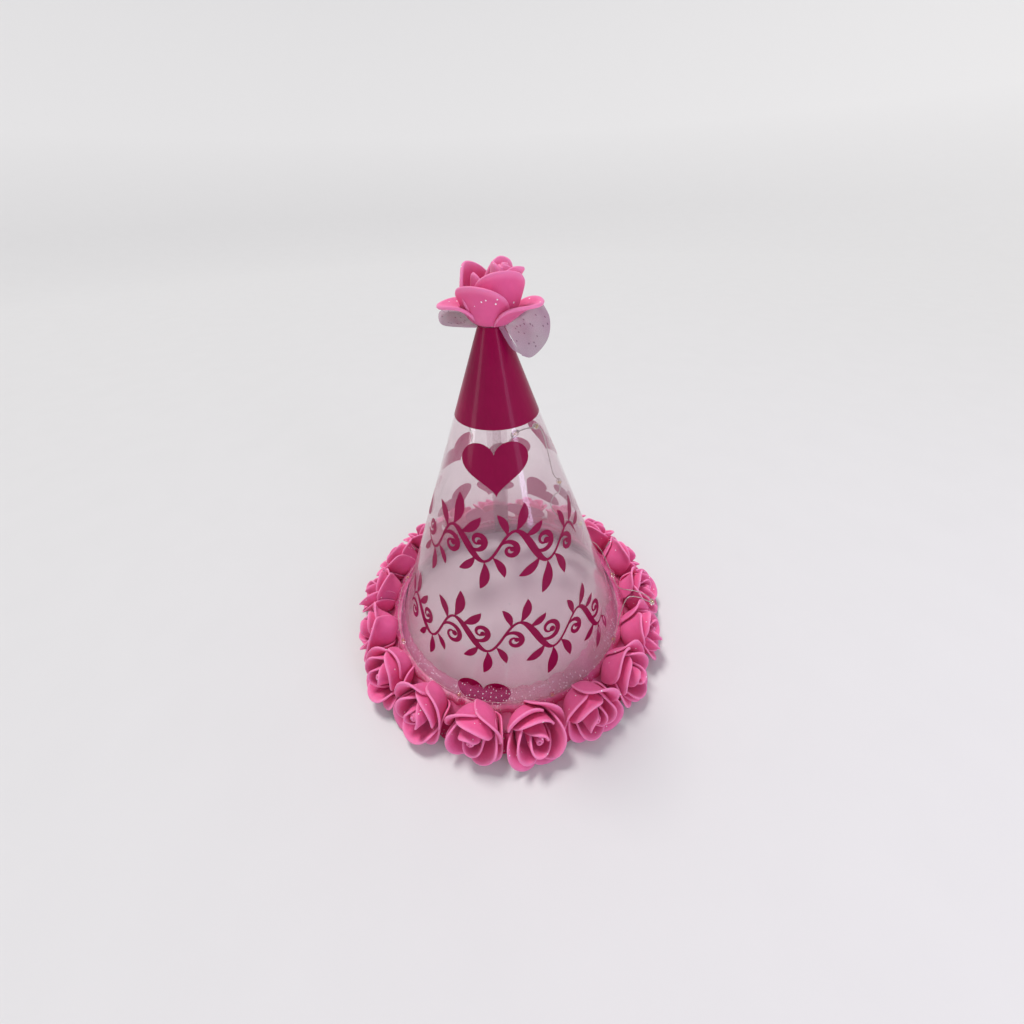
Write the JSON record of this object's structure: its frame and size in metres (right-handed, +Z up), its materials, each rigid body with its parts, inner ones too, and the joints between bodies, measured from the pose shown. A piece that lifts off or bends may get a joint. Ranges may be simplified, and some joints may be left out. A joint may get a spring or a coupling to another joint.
{
  "type": "party hat with flower brim",
  "caption": "Clear cone party hat with a printed tip, a ring of foam roses and tulle round its rim, a large foam rose on top and a battery light string inside.",
  "frame": {"origin": "centre of the circle that the film's rim stands on", "axes": "+Z up along the cone's axis to the top rose; -Y is the front, the side with the two larger printed hearts; the film's seam is at the back"},
  "size_m": [0.1604, 0.1624, 0.163],
  "materials": {
    "clear_film": "clear glossy thin film with a solid raspberry printed tip and printed hearts and curls",
    "clear_tape": "clear tape, slightly milky",
    "pink_tulle": "sheer pale pink net with silver dots",
    "hot_glue": "translucent milky hot glue",
    "petal_foam": "matt pink foam sheet, paler at its cut edges",
    "bud_foam": "matt pink foam sheet, rolled",
    "stem_wire": "green floral wrap",
    "case_plastic": "moulded white plastic",
    "collar_foam": "soft grey-white foam",
    "board": "green fibreglass board",
    "nickel": "nickel plated strip and wire",
    "cell_steel": "bright steel cell can",
    "light_wire": "fine silvery wire with clear resin light beads",
    "knob_plastic": "moulded black plastic"
  },
  "bodies": {
    "hat": {"cone_film": "clear_film", "seam_tape": "clear_tape", "brim_tulle": "pink_tulle", "brim_glue": "hot_glue", "brim_rose_01_bud": "bud_foam", "brim_rose_01_petals": "petal_foam", "brim_rose_02_bud": "bud_foam", "brim_rose_02_petals": "petal_foam", "brim_rose_03_bud": "bud_foam", "brim_rose_03_petals": "petal_foam", "brim_rose_04_bud": "bud_foam", "brim_rose_04_petals": "petal_foam", "brim_rose_05_bud": "bud_foam", "brim_rose_05_petals": "petal_foam", "brim_rose_06_bud": "bud_foam", "brim_rose_06_petals": "petal_foam", "brim_rose_07_bud": "bud_foam", "brim_rose_07_petals": "petal_foam", "brim_rose_08_bud": "bud_foam", "brim_rose_08_petals": "petal_foam", "brim_rose_09_bud": "bud_foam", "brim_rose_09_petals": "petal_foam", "brim_rose_10_bud": "bud_foam", "brim_rose_10_petals": "petal_foam", "brim_rose_11_bud": "bud_foam", "brim_rose_11_petals": "petal_foam", "brim_rose_12_bud": "bud_foam", "brim_rose_12_petals": "petal_foam", "brim_rose_13_bud": "bud_foam", "brim_rose_13_petals": "petal_foam", "brim_rose_14_bud": "bud_foam", "brim_rose_14_petals": "petal_foam", "brim_rose_15_bud": "bud_foam", "brim_rose_15_petals": "petal_foam", "brim_rose_16_bud": "bud_foam", "brim_rose_16_petals": "petal_foam", "brim_rose_17_bud": "bud_foam", "brim_rose_17_petals": "petal_foam", "brim_rose_18_bud": "bud_foam", "brim_rose_18_petals": "petal_foam", "top_tulle": "pink_tulle", "tip_glue": "hot_glue", "top_rose_stem": "stem_wire", "top_rose_outer_petals": "petal_foam", "top_rose_inner_petals": "petal_foam", "top_rose_bud": "bud_foam", "battery_case": "case_plastic", "case_collar": "collar_foam", "circuit_board": "board", "positive_contact": "nickel", "return_strip": "nickel", "button_cell_1": "cell_steel", "button_cell_2": "cell_steel", "button_cell_3": "cell_steel", "light_string": "light_wire"},
    "cap": {"battery_cap": "case_plastic", "cap_spring": "nickel", "switch_body": "nickel"},
    "knob": {"switch_knob": "knob_plastic"}
  },
  "joints": [
    {"name": "cap_pull", "type": "slide", "parent": "hat", "child": "cap", "axis": [0, 0, -1], "range_m": [0, 0.02]},
    {"name": "switch_slide", "type": "slide", "parent": "cap", "child": "knob", "axis": [1, 0, 0], "range_m": [0, 0.002]}
  ]
}
